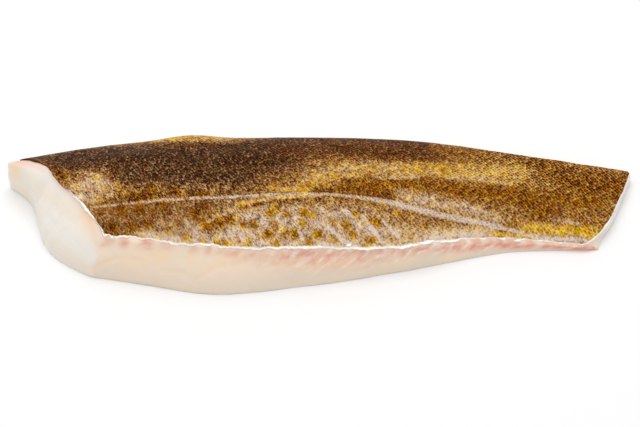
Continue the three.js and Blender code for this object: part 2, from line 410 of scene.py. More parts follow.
# Coat of the skin, painted in order over a plain brown: each mark follows a line of (u, v) points, fades
# within its half-width in millimetres and pulls the coat, by its strength, towards its darkness and gold.
COAT_DARK = 0.58
COAT_GOLD = 0.65
COAT_MARKS = {
    "dark back": (((0, 0.85), (0.15, 0.75), (0.3, 0.7), (0.42, 0.77)), 24, 0.95, 0.84, 0.05),
    "dark saddle": (((0.16, 0.55), (0.25, 0.56), (0.36, 0.56)), 14, 0.95, 0.78, 0),
    "dorsal edge": (((0.42, 0.97), (0.55, 0.96), (0.66, 0.97)), 8, 0.9, 0.82, 0.4),
    "brown ridge": (((0.43, 0.83), (0.6, 0.83), (0.68, 0.86)), 11, 0.9, 0.81, 0.55),
    "ridge end": (((0.7, 0.88), (0.78, 0.92), (0.85, 0.97)), 9, 0.8, 0.66, 0.8),
    "tail top": (((0.86, 0.92), (0.91, 0.82), (1, 0.84)), 12, 0.85, 0.73, 0.85),
    "brown band": (((0.56, 0.47), (0.66, 0.51), (0.75, 0.54), (0.85, 0.6), (0.95, 0.66)),
                   9, 0.85, 0.66, 0.92),
    "tail brown": (((0.83, 0.55), (0.88, 0.48), (0.89, 0.38)), 9, 0.8, 0.7, 0.92),
    "gold band": (((0.48, 0.47), (0.51, 0.55), (0.55, 0.62), (0.62, 0.665), (0.7, 0.7), (0.78, 0.76),
                   (0.83, 0.8)), 8, 0.9, 0.37, 0.82),
    "band start": (((0.48, 0.56), (0.55, 0.65), (0.62, 0.68)), 7, 0.5, 0.4, 0.45),
    "pale fleck": (((0.6, 0.565), (0.66, 0.605)), 2.6, 0.6, 0.26, 0.35),
    "pale streak": (((0.72, 0.655), (0.82, 0.69)), 3, 0.55, 0.26, 0.4),
    "flank": (((0.64, 0.41), (0.7, 0.39), (0.75, 0.34), (0.81, 0.26)), 9, 0.8, 0.34, 0.25),
    "tail flank": (((0.94, 0.4), (0.98, 0.42)), 8, 0.6, 0.53, 0.8),
    "cheek": (((0.02, 0.37), (0.06, 0.4), (0.085, 0.47)), 12, 0.9, 0.26, 0.25),
    "head edge": (((0, 0.95), (0.01, 0.75), (0.02, 0.58)), 7, 0.9, 0.75, 0.85),
    "above line": (((0.08, 0.31), (0.2, 0.37), (0.34, 0.43)), 3, 0.7, 0.66, 0.55),
    "below line": (((0.03, 0.12), (0.1, 0.15), (0.18, 0.22), (0.26, 0.27), (0.36, 0.34)), 8, 0.85, 0.59, 0.4),
    "grey patch": (((0.16, 0.08), (0.24, 0.13), (0.29, 0.07)), 8, 0.75, 0.38, 0.05),
    "belly": (((0.35, 0.08), (0.4, 0.18), (0.48, 0.19), (0.56, 0.16), (0.62, 0.12)), 15, 0.95, 0.28, 0.08),
    "belly end": (((0.59, 0.27), (0.645, 0.19), (0.69, 0.14), (0.75, 0.11)), 9, 0.8, 0.47, 0.5),
    "under arch": (((0.39, 0.32), (0.43, 0.35), (0.5, 0.37)), 3, 0.95, 0.66, 0.5),
    "arch root": (((0.26, 0.1), (0.31, 0.2), (0.37, 0.31)), 2, 0.6, 0.28, 0.2),
    "arch": (((0.36, 0.31), (0.4, 0.345), (0.45, 0.375), (0.5, 0.385)), 2, 0.9, 0.25, 0.75),
    # The gold crest and the dark crease lighten and darken the skin along the ridge and groove of the crease.
    "gold crest": (((0.42, 0.44), (0.47, 0.435), (0.53, 0.45)), 2.4, 0.85, 0.3, 0.85),
    "dark crease": (((0.49, 0.425), (0.53, 0.44), (0.58, 0.43), (0.62, 0.4)), 3.4, 0.95, 0.73, 0.8),
    "tail gold": (((0.87, 0.21), (0.91, 0.2), (0.99, 0.23)), 9, 0.85, 0.26, 0.9),
    "gold end": (((0.94, 0.25), (0.99, 0.31)), 9, 0.85, 0.38, 1),
    "under line": (((0.66, 0.06), (0.73, 0.07), (0.8, 0.09)), 8, 0.85, 0.17, 0.35),
    "tail pale": (((0.85, 0.06), (0.92, 0.07), (0.99, 0.09)), 7.5, 0.9, 0.1, -0.1),
    "tail smudge": (((0.9, 0.36), (0.94, 0.35)), 4, 0.6, 0.36, 0),
    "tail spots": (((0.81, 0.08), (0.84, 0.07), (0.88, 0.05)), 4, 0.9, 0.3, 1),
    "front edge": (((0.12, 0.02), (0.3, 0.02), (0.5, 0.01), (0.7, 0.02), (0.8, 0.02)), 7, 0.8, 0.12, 0.1),
    "edge brown": (((0.58, 0.06), (0.63, 0.05), (0.68, 0.05)), 5, 0.55, 0.4, 0.5),
    "fin ends": (((0.12, 0.98), (0.2, 0.97), (0.41, 0.98)), 4.5, 0.7, 0.5, 0.85),
    "fin root": (((0.24, 0.965), (0.29, 0.95), (0.34, 0.955)), 7, 0.85, 0.33, 0.85),
}

# The silver lateral line, with its half-widths in millimetres and its strength from head to tail, and the
# slanting streaks of the belly, which are stronger in their middle.
LATERAL_LINE = ((0.03, 0.255), (0.168, 0.31), (0.286, 0.353), (0.38, 0.378), (0.496, 0.405), (0.564, 0.387),
                (0.631, 0.335), (0.704, 0.267), (0.781, 0.202), (0.861, 0.14))
LINE_HALF_WIDTHS = (1.6, 1.8, 1.9, 2, 2, 2.3, 2.8, 3, 3.1, 3)
LINE_SHARES = (0.7, 0.8, 0.82, 0.78, 0.78, 0.88, 1, 1.05, 1.05, 0.8)
STREAKS = (((0.505, 0.16), (0.55, 0.01)), ((0.565, 0.25), (0.612, 0.01)), ((0.53, 0.3), (0.565, 0.18)),
           ((0.46, 0.12), (0.475, 0.03)), ((0.6, 0.22), (0.64, 0.05)), ((0.36, 0.12), (0.375, 0.03)))
STREAK_HALF_WIDTH = 1.7
STREAK_ENDS = 0.38
STREAK_MIDDLE = 0.5
LINE_SAMPLES = 240

# Golden spots: where they begin and end along the fish, and where their upper limit lies across it.
SPOTS_HEAD = (0, 0.06)
SPOTS_TAIL = (0.56, 0.7)
SPOTS_FAINT = 0.6
SPOTS_FULL = (0.2, 0.3)
SPOTS_TOPS = (0.48, 0.32)
SPOTS_TOP_FALL = (0.2, 0.4)
SPOTS_TOP_FADE = (-0.08, 0.04)

# Cut edge: how ragged it is, as heights, wavelengths in millimetres and seeds, and how far in that fades.
EDGE_RAGGED = 0.45 * MM
EDGE_WAVES = ((1, 24, 2), (0.7, 9, 3), (0.4, 4, 4))
EDGE_FADE = 3 * MM
EDGE_TAIL = 0.5
EDGE_BACK = 0.3
# The front cut runs a little crooked: millimetres inwards, from head to tail.
FRONT_SHIFTS = (1.8, 2, 0.8, 1.8, 0, 0, -1.6, 1.3, 2.2, 1.8, 1.8)
SHIFT_FADE = 9 * MM
# How wide the white underside shows at the front (from head to tail), at the head (from front to back) and
# at the tail, and where each ends.
FRONT_WHITE = (0.7, 0.45, 0.5, 0.6, 1, 1.6, 1.5)
HEAD_WHITE = (2.4, 2.7, 1.1, 0.2, 0, 0, 0, 0, 0)
TAIL_WHITE = 0.45
FRONT_WHITE_END = 0.1
HEAD_WHITE_END = 0.03
TAIL_WHITE_FROM = 0.97
# The white is a lip that bulges out of the cut. How much it does is uneven, and more even at the head.
EDGE_BEVEL = 1.1 * MM
BEVEL_POWER = 1.3
BEVEL_TURN = 0.85
BEVEL_MEAN = 0.8
BEVEL_WAVES = ((0.5, 17, 11), (0.3, 5, 9))
BEVEL_LEAST = 0.2
BEVEL_LEAST_HEAD = 0.8
BEVEL_MOST = 1.8
# The top of the lip is white too, within its width in millimetres.
CUT_SHARE = 0.8
CUT_WIDEST = 1.2
CUT_NARROWEST = 0.01
CUT_FROM = (0, 0.2)
LIP_FROM = (0.1, 0.3)
# Soft unevenness of the whole skin, in millimetres, that fades at the edge.
SKIN_WAVES = ((0.25, 38, 5), (0.1, 13, 6))
RELIEF_FADE = 10 * MM

# Areas of the skin where its patterns change, as ranges of u and v in which each comes in or goes out.
TAILWARDS = (0.4, 0.75)
BACK_HEAD, BACK_FROM = (0.02, 0.1), (0.45, 0.6)
TAIL_TOP, TAIL_TOP_FROM, TAIL_TOP_END = (0.7, 0.82), (0.6, 0.8), (0.86, 0.94)
CHEEK_END, CHEEK_FROM = (0.08, 0.16), (0.28, 0.36)
CALM_END, CALM_TOP = (0.22, 0.36), (0.26, 0.36)
PALE_TO_DARK = (0.3, 0.7)
DOTS_TO_DARK = (0.3, 0.6)
# How much the lattice of scales shows all over, what each area adds, and what the tail's end takes off.
LATTICE_ALL = 0.3
LATTICE_MORE = {"tailwards": 0.25, "back": 0.3, "tail top": 0.43, "tail end": -0.6}
# How much blotches and fine dots show in a pale and in a dark coat, and what each area changes of that.
MOTTLE = (1.3, 0.65)
MOTTLE_MORE = {"cheek": 0.3, "tailwards": -0.2, "calm": -0.3}
DOTS = (0.75, 1)
DOTS_MORE = {"tailwards": -0.4, "calm": -0.35, "back": -0.35}


def line_distance(u, v, line, span, samples=48):
    """Least distance in millimetres to a curve through (u, v) points, and the share along it of the nearest.

    The span says how long the two shares are in metres."""
    shares = np.linspace(0, 1, samples)
    nearest = np.full(u.shape, np.inf)
    where = np.zeros(u.shape)
    for share, (line_u, line_v) in zip(shares, spline(line, shares)):
        off = np.hypot((u - line_u) * span[0], (v - line_v) * span[1]) / MM
        where = np.where(off < nearest, share, where)
        nearest = np.minimum(off, nearest)
    return nearest, where


def skin_coat(u, v, sizes):
    """Paints the marks over the plain coat, each with a flat-topped bell, and returns darkness and gold."""
    dark = np.full(u.shape, COAT_DARK)
    gold = np.full(u.shape, COAT_GOLD)
    for line, half_width, strength, mark_dark, mark_gold in COAT_MARKS.values():
        distance, _ = line_distance(u, v, line, (sizes.length, sizes.width))
        cover = strength * np.exp(-(distance / half_width) ** 3)
        dark = mix(dark, mark_dark, cover)
        gold = mix(gold, mark_gold, cover)
    return dark, gold


def skin_pale(u, v, sizes):
    """Silver of the lateral line and the belly's streaks, falling off in a straight slope on both sides."""
    span = (sizes.length, sizes.width)
    distance, where = line_distance(u, v, LATERAL_LINE, span, LINE_SAMPLES)
    pale = spline(LINE_SHARES, where) - distance / spline(LINE_HALF_WIDTHS, where) / 2
    for streak in STREAKS:
        distance, where = line_distance(u, v, streak, span)
        strength = STREAK_ENDS + STREAK_MIDDLE * np.sin(np.pi * where)
        pale = np.maximum(pale, strength - distance / STREAK_HALF_WIDTH / 2)
    return np.clip(pale, 0, 1)


def spot_share(u, v):
    """How strongly the golden spots show: below the back, most on the belly and not at the tail."""
    along = smoothstep(u, *SPOTS_HEAD) * (1 - smoothstep(u, *SPOTS_TAIL))
    along *= mix(SPOTS_FAINT, 1, smoothstep(u, *SPOTS_FULL))
    top = mix(*SPOTS_TOPS, smoothstep(u, *SPOTS_TOP_FALL))
    return along * (1 - smoothstep(v - top, *SPOTS_TOP_FADE))


def edge_distance(u, v, sizes):
    """Distance in metres from the nearest border of the sheet."""
    return np.minimum(np.minimum(u, 1 - u) * sizes.length, np.minimum(v, 1 - v) * sizes.width)


def edge_white(u, v):
    """How wide the white underside shows at the cut edge: at the front, low at the head and at the tail."""
    front = spline(FRONT_WHITE, u) * (1 - smoothstep(v, 0, FRONT_WHITE_END))
    head = spline(HEAD_WHITE, v) * (1 - smoothstep(u, 0, HEAD_WHITE_END))
    tail = TAIL_WHITE * smoothstep(u, TAIL_WHITE_FROM, 1)
    return np.maximum(np.maximum(front, head), tail)


def skin_outer(u, v, sizes):
    """The plain skin with soft unevenness and a crooked, ragged cut edge that fades inwards.

    Where the edge moves inwards or outwards, it also follows the skin's height."""
    points = skin_base(u, v, sizes)
    x, y = points[..., 0], points[..., 1]
    ragged = EDGE_RAGGED * rough(x, y, EDGE_WAVES)
    front, back = (np.exp(-share * sizes.width / EDGE_FADE) for share in (v, 1 - v))
    head, tail = (np.exp(-share * sizes.length / EDGE_FADE) for share in (u, 1 - u))
    crooked = spline(FRONT_SHIFTS, u) * MM * np.exp(-v * sizes.width / SHIFT_FADE)
    along = ragged * (EDGE_TAIL * tail - head)
    across = ragged * (EDGE_BACK * back - front) + crooked
    moved_u = u + along / (x[:, -1:] - x[:, :1])
    moved_v = v + across / (y[-1] - y[0])
    rise = skin_height(moved_u, moved_v, sizes) - skin_height(u, v, sizes)
    uneven = MM * rough(x, y, SKIN_WAVES) * smoothstep(edge_distance(u, v, sizes), 0, RELIEF_FADE)
    return points + np.stack((along, across, rise + uneven), -1)


def skin_rim(edge_points, u, v, white, sizes):
    """Rows going down the cut edge: an uneven lip that bulges out as part of a sine, by how white it is."""
    least = np.where(u == 0, BEVEL_LEAST_HEAD, BEVEL_LEAST)
    uneven = BEVEL_MEAN + rough(edge_points[:, 0], edge_points[:, 1], BEVEL_WAVES)
    bevel = EDGE_BEVEL * white * np.clip(uneven, least, BEVEL_MOST)
    rim_rows = SKIN_GRID[2]
    depth = np.linspace(0, 1, rim_rows + 2)[1:-1, None]
    bulge = bevel * np.sin(np.pi * depth ** BEVEL_POWER * BEVEL_TURN)
    rim = np.repeat(edge_points[None], rim_rows, 0)
    rim[..., :2] += bulge[..., None] * outwards(u, v, sizes)
    rim[..., 2] -= depth * sizes.skin
    return rim


def skin_detail(u, v, dark):
    """Shares of the golden spots, the even lattice of scales, the blotches and the fine dots, by area.

    The lattice grows towards the tail and on the back, and below the line near the head all is calmer."""
    tailwards = smoothstep(u, *TAILWARDS)
    back = smoothstep(v, *BACK_FROM) * smoothstep(u, *BACK_HEAD) * (1 - tailwards)
    tail_end = 1 + LATTICE_MORE["tail end"] * smoothstep(u, *TAIL_TOP_END)
    tail_top = smoothstep(u, *TAIL_TOP) * smoothstep(v, *TAIL_TOP_FROM) * tail_end
    cheek = (1 - smoothstep(u, *CHEEK_END)) * smoothstep(v, *CHEEK_FROM)
    calm = (1 - smoothstep(u, *CALM_END)) * (1 - smoothstep(v, *CALM_TOP))
    lattice = LATTICE_ALL + LATTICE_MORE["tailwards"] * tailwards
    lattice += LATTICE_MORE["back"] * back + LATTICE_MORE["tail top"] * tail_top
    mottle = mix(*MOTTLE, smoothstep(dark, *PALE_TO_DARK)) * (1 + MOTTLE_MORE["calm"] * calm)
    mottle *= 1 + MOTTLE_MORE["cheek"] * cheek + MOTTLE_MORE["tailwards"] * tailwards
    dots = mix(*DOTS, smoothstep(dark, *DOTS_TO_DARK)) * (1 + DOTS_MORE["tailwards"] * tailwards)
    dots *= (1 + DOTS_MORE["calm"] * calm) * (1 + DOTS_MORE["back"] * back)
    return spot_share(u, v), lattice, mottle, dots


def skin_place(points):
    """Place on the skin in millimetres: along the fish, and the arc length across it from the front cut."""
    steps = np.hypot(np.diff(points[..., 1], axis=0), np.diff(points[..., 2], axis=0))
    arc = np.concatenate((np.zeros((1, points.shape[1])), np.cumsum(steps, 0)))
    return np.stack((points[..., 0] / MM, arc / MM, np.zeros(arc.shape)), -1)


def make_skin(sizes, colours):
    """A shell of the skin: outer face, bulging cut edge and inner face, with its coat as attributes."""
    columns, rows, rim_rows = SKIN_GRID
    u, v = rounded_tail(*grid(columns, rows), sizes)
    edge = border(columns, rows)
    edge_u, edge_v = u.ravel()[edge], v.ravel()[edge]
    outer = skin_outer(u, v, sizes)
    white = edge_white(u, v)
    rim = skin_rim(outer.reshape(-1, 3)[edge], edge_u, edge_v, white.ravel()[edge], sizes)
    points, quads = shell(outer, rim, outer - (0, 0, sizes.skin))

    dark, gold = skin_coat(u, v, sizes)
    pale = skin_pale(u, v, sizes)
    cut_reach = (np.minimum(white, CUT_WIDEST) + CUT_NARROWEST) * MM
    cut = CUT_SHARE * smoothstep(white, *CUT_FROM) * bell(edge_distance(u, v, sizes), cut_reach)
    lip = np.maximum(cut, smoothstep(white, *LIP_FROM))
    fields = ((dark, dark), (gold, gold), (pale, pale), (cut, lip))
    coat = np.stack([joined(field, round_edge(below, edge, rim_rows), below) for field, below in fields], -1)
    blank_rim, blank = np.zeros(rim.shape[:2]), np.zeros(u.shape)
    detail = np.stack([joined(field, blank_rim, blank) for field in skin_detail(u, v, dark)], -1)
    place = skin_place(outer)
    sheets = (place, round_edge(place, edge, rim_rows), place)
    places = np.concatenate([sheet.reshape(-1, 3) for sheet in sheets])
    attributes = {"coat": coat, "detail": detail, "place_mm": places}
    return new_piece("cod_skin", points, quads, attributes, cod_skin_material(sizes, colours))


# Colours of the skin from the palest to the darkest tone, grey and golden.
GREY_TONES = ((0, "#dcc8b8"), (0.2, "#c5ac99"), (0.4, "#a4876c"), (0.55, "#7f5f40"), (0.7, "#5c3c1c"),
              (0.85, "#3e2105"), (1, "#220d00"))
GOLD_TONES = ((0, "#e4c058"), (0.2, "#cca01c"), (0.4, "#ae7c00"), (0.55, "#905800"), (0.7, "#703a00"),
              (0.85, "#512300"), (1, "#2d0f00"))
# Rows of scales run down and towards the tail, in looser order where the lattice shows less.
ROW_TURN = math.radians(-54)
ROW_STRETCH = 1.2
GRAIN_STRETCH = 1.9
SCALES_LOOSE = 0.85
LATTICE_ORDER = 0.4
# Painted highlight on each scale's rim: how far in from the cell's edge it reaches, in scale pitches.
SCALE_HIGHLIGHT_RIM = 0.2
SCALE_DOME = 0.7
SCALE_HEIGHT = 0.12 * MM
# Dots are larger on darker scales, and fine dots lie closer than the scales by a factor.
DOT_CHANCE = 0.3
DOT_GROWTH = 0.5
DOT_SOFT = 0.25
PEPPER_CLOSER = 3.4
# Sizes of blotches and of patches of rust, in millimetres.
BLOTCH_SIZE = 4.5
RUST_SIZE = 3.5
# Rust turns the hue about its middle.
HUE_TURN = 0.09
HUE_LOW = 0.454
# Golden spots: how loosely they lie, how uneven and soft their edges are, and how their strengths vary.
SPOT_LOOSE = 0.85
SPOT_UNEVEN = 0.7
SPOT_EDGE = (0.4, 0.9)
SPOT_STRENGTHS = (0.8, 0.5)
# Silver is broken up by blotches and scales, and darkened by the fine dots.
SILVER_BROKEN = 3.0
SILVER_EDGE = (0.35, 1.6)
SILVER_DOTS = -0.6
SILVER_MOST = 0.7
# How much each pattern of the skin moves its tone and its gold, about the pattern's mean.
PATTERN_WEIGHTS = {
    "own shade": (0.5, 0.3, 0),
    "own gilding": (0.5, 0, 0.3),
    # Painted light: scales lighten towards their free edge.
    "lit free edge": (0, -0.28, 0),
    "blotch": (0.5, 0.75, 0),
    "gilding": (0.5, -0.3, 1.3),
    "spot": (0, 0.25, 0.8),
    "dot": (0.45, 0.4, 0.1),
    "pepper": (0.5, 0.6, 0),
    # Painted highlight: scales lighten along their rim.
    "rim": (0, -0.15, 0),
    "silver": (0, -0.3, -0.6),
}


def cod_skin_material(sizes, colours):
    """Wet cod skin: small scales in slanting rows of gold or grey, dark dots and blotches, under thin slime.
    Each scale has painted light towards its free edge and a painted highlight along its rim.

    The coat attribute says how dark, golden and silver the skin is and where it is cut. The detail attribute
    says how much of each pattern shows: spots, an even lattice of scales, blotches and dots."""
    material, node = new_material("wet_scaled_cod_skin")
    place = node("Attribute", attribute_name="place_mm")["Vector"]
    coat = node("Attribute", attribute_name="coat")
    dark, gold, pale = node("SeparateColor", {0: coat["Color"]})
    detail = node("Attribute", attribute_name="detail")
    spots, lattice, mottle = node("SeparateColor", {0: detail["Color"]})
    dots = detail["Alpha"]

    # Scales stand in rows that slant across the fish, strewn by the head and in an even lattice at the tail.
    # Each scale is painted lighter towards its free edge at the tail side, as painted light where that edge
    # faces the lamp.
    pitch = sizes.scale_pitch / MM
    slant = {0: place, "Rotation": (0, 0, ROW_TURN)}
    rows = node("Mapping", {**slant, "Scale": (ROW_STRETCH, 1, 1)}, vector_type="TEXTURE")[0]
    streaked = node("Mapping", {**slant, "Scale": (GRAIN_STRETCH, 1, 1)}, vector_type="TEXTURE")[0]
    loose = node("Math", {0: lattice, 1: -LATTICE_ORDER, 2: SCALES_LOOSE}, operation="MULTIPLY_ADD")[0]
    packing = {"Vector": rows, "Scale": 1 / pitch, "Randomness": loose}
    scales = node("TexVoronoi", packing, voronoi_dimensions="2D")
    own = node("SeparateColor", {0: scales["Color"]})
    seam = node("TexVoronoi", packing, voronoi_dimensions="2D", feature="DISTANCE_TO_EDGE")[0]
    # Painted highlight along each scale's rim, most where the lattice shows.
    rim = node("MapRange", {0: seam, 1: 0.0, 2: SCALE_HIGHLIGHT_RIM, 3: 1.0, 4: 0.0})[0]
    rim = node("Math", {0: rim, 1: lattice}, operation="MULTIPLY")[0]
    offset = node("VectorMath", {0: rows, 1: scales["Position"]}, operation="SUBTRACT")[0]
    tailwards = (math.cos(ROW_TURN) / pitch, -math.sin(ROW_TURN) / pitch, 0)
    lit_free_edge = node("VectorMath", {0: offset, 1: tailwards}, operation="DOT_PRODUCT")["Value"]

    # A dark dot on each scale, larger where the coat is darker, and finer dots strewn over all.
    radius = node("Math", {0: own[2], 1: DOT_CHANCE, 2: dark}, operation="MULTIPLY_ADD")[0]
    off = node("Math", {0: radius, 1: -DOT_GROWTH, 2: scales["Distance"]}, operation="MULTIPLY_ADD")[0]
    dot = node("MapRange", {0: off, 1: -DOT_SOFT, 2: DOT_SOFT, 3: 1.0, 4: 0.0})[0]
    closer = {"Vector": streaked, "Scale": PEPPER_CLOSER / pitch}
    pepper = node("TexVoronoi", closer, voronoi_dimensions="2D")["Color"]
    pepper = node("SeparateColor", {0: pepper})[0]

    # Blotches and patches of gold, several millimetres across.
    blotch = node("TexNoise", {"Vector": place, "Scale": 1 / BLOTCH_SIZE, "Detail": 3.0})[0]
    gilding = node("TexNoise", {"Vector": streaked, "Scale": 1 / BLOTCH_SIZE, "Detail": 3.0})[0]

    # Golden spots with soft uneven edges, some fainter than others, and silver broken up by the scales.
    strewn = {"Vector": rows, "Scale": MM / sizes.spot_pitch, "Randomness": SPOT_LOOSE}
    cells = node("TexVoronoi", strewn, voronoi_dimensions="2D")
    spot = node("Math", {0: blotch, 1: SPOT_UNEVEN, 2: cells["Distance"]}, operation="MULTIPLY_ADD")[0]
    soft_edge = {0: spot, 1: SPOT_EDGE[0], 2: SPOT_EDGE[1], 3: 1.0, 4: 0.0}
    spot = node("MapRange", soft_edge, interpolation_type="SMOOTHSTEP")[0]
    strength = node("SeparateColor", {0: cells["Color"]})[0]
    varied = {0: strength, 1: SPOT_STRENGTHS[0], 2: SPOT_STRENGTHS[1]}
    strength = node("Math", varied, operation="MULTIPLY_ADD")[0]
    spot = node("Math", {0: spot, 1: strength}, operation="MULTIPLY")[0]
    broken = node("Math", {0: blotch, 1: SILVER_BROKEN, 2: own[0]}, operation="MULTIPLY_ADD")[0]
    broken = node("Math", {0: pale, 1: broken}, operation="MULTIPLY")[0]
    silver_edge = {0: broken, 1: SILVER_EDGE[0], 2: SILVER_EDGE[1]}
    silver = node("MapRange", silver_edge, interpolation_type="SMOOTHSTEP")[0]

    # Each pattern moves the tone and the gold of the coat. The tone picks a grey and a golden colour to mix.
    patterns = {
        "own shade": (own[0], lattice), "own gilding": (own[1], lattice), "lit free edge": (lit_free_edge, lattice),
        "blotch": (blotch, mottle), "gilding": (gilding, mottle), "spot": (spot, spots),
        "dot": (dot, lattice), "pepper": (pepper, dots), "rim": (rim, lattice), "silver": (silver, 1.0)}
    tone, golden = dark, gold
    for name, (value, share) in patterns.items():
        mean, to_tone, to_gold = PATTERN_WEIGHTS[name]
        about = node("Math", {0: value, 1: mean}, operation="SUBTRACT")[0]
        about = node("Math", {0: about, 1: share}, operation="MULTIPLY")[0]
        tone = node("Math", {0: about, 1: to_tone, 2: tone}, operation="MULTIPLY_ADD")[0]
        golden = node("Math", {0: about, 1: to_gold, 2: golden}, operation="MULTIPLY_ADD")[0]
    golden = node("Clamp", {0: golden})[0]
    grey = node("ValToRGB", {0: tone}, GREY_TONES)[0]
    gilt = node("ValToRGB", {0: tone}, GOLD_TONES)[0]
    body = node("Mix", {0: golden, MIX_FIRST: grey, MIX_SECOND: gilt}, data_type="RGBA")[MIX_RESULT]
    rust = node("TexNoise", {"Vector": rows, "Scale": 1 / RUST_SIZE, "Detail": 2.0})[0]
    hue = node("Math", {0: rust, 1: HUE_TURN, 2: HUE_LOW}, operation="MULTIPLY_ADD")[0]
    body = node("HueSaturation", {"Hue": hue, "Color": body})[0]

    # Silver of the line and streaks lies over the coat, and white over the cut edge.
    grain = node("Math", {0: pepper, 1: SILVER_DOTS, 2: SILVER_MOST}, operation="MULTIPLY_ADD")[0]
    silver = node("Math", {0: silver, 1: grain}, operation="MULTIPLY")[0]
    for share, tint in ((silver, colours.silver), (coat["Alpha"], colours.membrane)):
        layers = {0: share, MIX_FIRST: body, MIX_SECOND: (*tint, 1)}
        body = node("Mix", layers, data_type="RGBA")[MIX_RESULT]

    # Each scale is a low dome a tenth of a millimetre high.
    dome = node("MapRange", {0: scales["Distance"], 1: 0.0, 2: SCALE_DOME, 3: 1.0, 4: 0.0})[0]
    bump = node("Bump", {"Strength": 0.5, "Distance": SCALE_HEIGHT, "Height": dome})[0]
    shader = node("BsdfPrincipled", {
        "Base Color": body, "Roughness": 0.4, "Specular IOR Level": 0.02, "Normal": bump})[0]
    node("OutputMaterial", {0: shader})
    return material


# Flesh

# Membranes between the flakes lean towards the tail as they rise.
FLAKE_TURN = math.radians(67)
FLAKE_STRETCH = 3

# Pink along the long cuts, from head to tail: how deep it goes in millimetres, and how strong it is.
PINK_DEPTHS = (4.5, 4, 4.5, 11, 6.5, 3.8, 4.2)
PINK_SHARES = (0.9, 0.85, 0.75, 1, 0.85, 1.6, 1.8)
# Near the head it lies in blobs, given as the share along, the half-width and the strength of each.
PINK_BLOBS = ((0.022, 0.02, 1.2), (0.077, 0.014, 0.9), (0.135, 0.02, 1.2), (0.18, 0.025, 0.7),
              (0.262, 0.016, 0.7), (0.3, 0.01, 0.8), (0.357, 0.035, 0.8))
BLOBS_JOIN = (0.28, 0.46)
# Further on it is paler right under the skin, and has membranes in it.
PALER = 0.5
PALER_WITHIN = 0.5
PALER_FROM = (0.3, 0.4)
MEMBRANES_FROM = (0.3, 0.5)
MEMBRANES_FADE = (0.75, 0.9)
MEMBRANES_LESS = 0.6
MEMBRANES_REACH = 1.2
# Pink under the skin of the head cut: its half-depth in millimetres, and its shares at the front and lobe.
HEAD_PINK_DEPTH = 2.2
HEAD_PINK = (0.35, 0.7)
HEAD_PINK_RISE = (0.6, 0.95)

# Where the tints of the end cuts begin and end, and how far the corners that differ reach.
HEAD_TINTS_END = 0.05
MILKY_LIT_HEAD_END = (0.004, 0.026)
MILKY_LIT_TAIL_FROM = 0.985
MILKY_LIT_FRONT_END = 0.03
MILKY_LIT_EDGE = ((0.008, 30, 25),)
MILKY_LIT_CORNER_LESS = 0.4
HEAD_CORNER_HALF = 0.2
HEAD_CORNER_TOP = (0.15, 0.6)
TAIL_CORNER_FROM = 0.98
TAIL_CORNER_HALF = 0.16
TAIL_CORNER_PINK = 1.5
# Milky white is cloudy. It also whitens the end cuts as painted light.
CLOUD_MEAN = 0.85
CLOUD_LEAST = 0.5
CLOUD_WAVES = ((0.2, 28, 24),)

# Peach places, each as its middle and half-width in two directions: depth in millimetres and share across for
# the strip and the lobe, height and share across for the lobe's foot, share along and depth for warm spots.
STRIP = (1.5, 3, 0.17, 0.13)
LOBE = (8, 9, 0.89, 0.045)
LOBE_FOOT = (0.2, 0.2, 0.82, 0.08)
WARM_SPOTS = ((0.18, 0.025, 8, 5), (0.262, 0.014, 5, 4), (0.36, 0.03, 4, 4), (0.5, 0.1, 8, 5))
# Peach patches of the long cuts, with their middle depth and half-depth in millimetres.
PATCH_WAVES = ((1, 34, 23),)
PATCH_DEPTH = 8
PATCH_HALF = 10
# How strong peach and pink are in each of these places. Peach at the seams is painted shade in their grooves.
PEACH = {"strip": 0.8, "lobe": 0.9, "lobe foot": 0.5, "patches": 0.5, "warm": 0.7, "tail corner": 0.8,
         "seams": 0.3}
PINK = {"strip": 0.45, "tail corner": 0.8}

# Seams between the flakes on the long cuts, as lines of (u, height) points.
FLAKE_SEAMS = (
    ((0, 0.23), (0.04, 0.42), (0.083, 0.6), (0.138, 0.57)),
    ((0.19, 0.41), (0.25, 0.43)),
    ((0.283, 0.33), (0.305, 0.47), (0.327, 0.61), (0.378, 0.7)),
    ((0.4, 0.6), (0.45, 0.64), (0.5, 0.6)),
    ((0.56, 0.3), (0.62, 0.5)),
)
SEAM_HALF_WIDTH = 1.6
SEAM_DEPTH = 0.5 * MM
# Where the two long cuts end towards the end cuts, and how much the back cut counts.
FRONT_CUT_END = (0.03, 0.08)
BACK_CUT_FROM = 0.96
BACK_CUT_SHARE = 0.7

# Unevenness of the sides, and long folds and short wrinkles of the head cut, in millimetres.
FLESH_WAVES = ((0.7, 45, 31), (0.18, 11, 32))
HEAD_FOLDS = ((0.45, 16, 33),)
HEAD_WRINKLES = ((0.15, 6, 34),)
FOLD_STRETCH = 3
FOLDS_END = 0.03

# Painted shade: the flesh darkens towards the foot, reaching higher towards the tail, and a slanting facet by
# the head is shaded as if low too.
FOOT_SHADE_RISE = (0.35, 0.5)
FOOT_SHADE_HIGHER = 1.5
FACET_SHARE = 0.8
FACET_FOOT = 0.15
FACET_SLOPE = 5
FACET_EDGE = (-0.08, 0.12)
FACET_END = (0.06, 0.2)


def on_long_cuts(v):
    """1 on the front cut, less on the back cut and 0 on the two end cuts."""
    return np.maximum(1 - smoothstep(v, *FRONT_CUT_END), BACK_CUT_SHARE * smoothstep(v, BACK_CUT_FROM, 1))


def flake_seams(u, v, height, sizes):
    """Bell of the distance from the nearest seam between flakes, on the long cuts."""
    span = (sizes.length, sizes.thickness * FRONT_HEIGHTS[0])
    nearest = np.minimum.reduce([line_distance(u, height, seam, span)[0] for seam in FLAKE_SEAMS])
    return bell(nearest, SEAM_HALF_WIDTH) * on_long_cuts(v)


def two_way_bell(first, second, place):
    """A bell in two directions. The place is its middle and half-width in the first, then in the second."""
    middle, half, second_middle, second_half = place
    return bell(first - middle, half) * bell(second - second_middle, second_half)


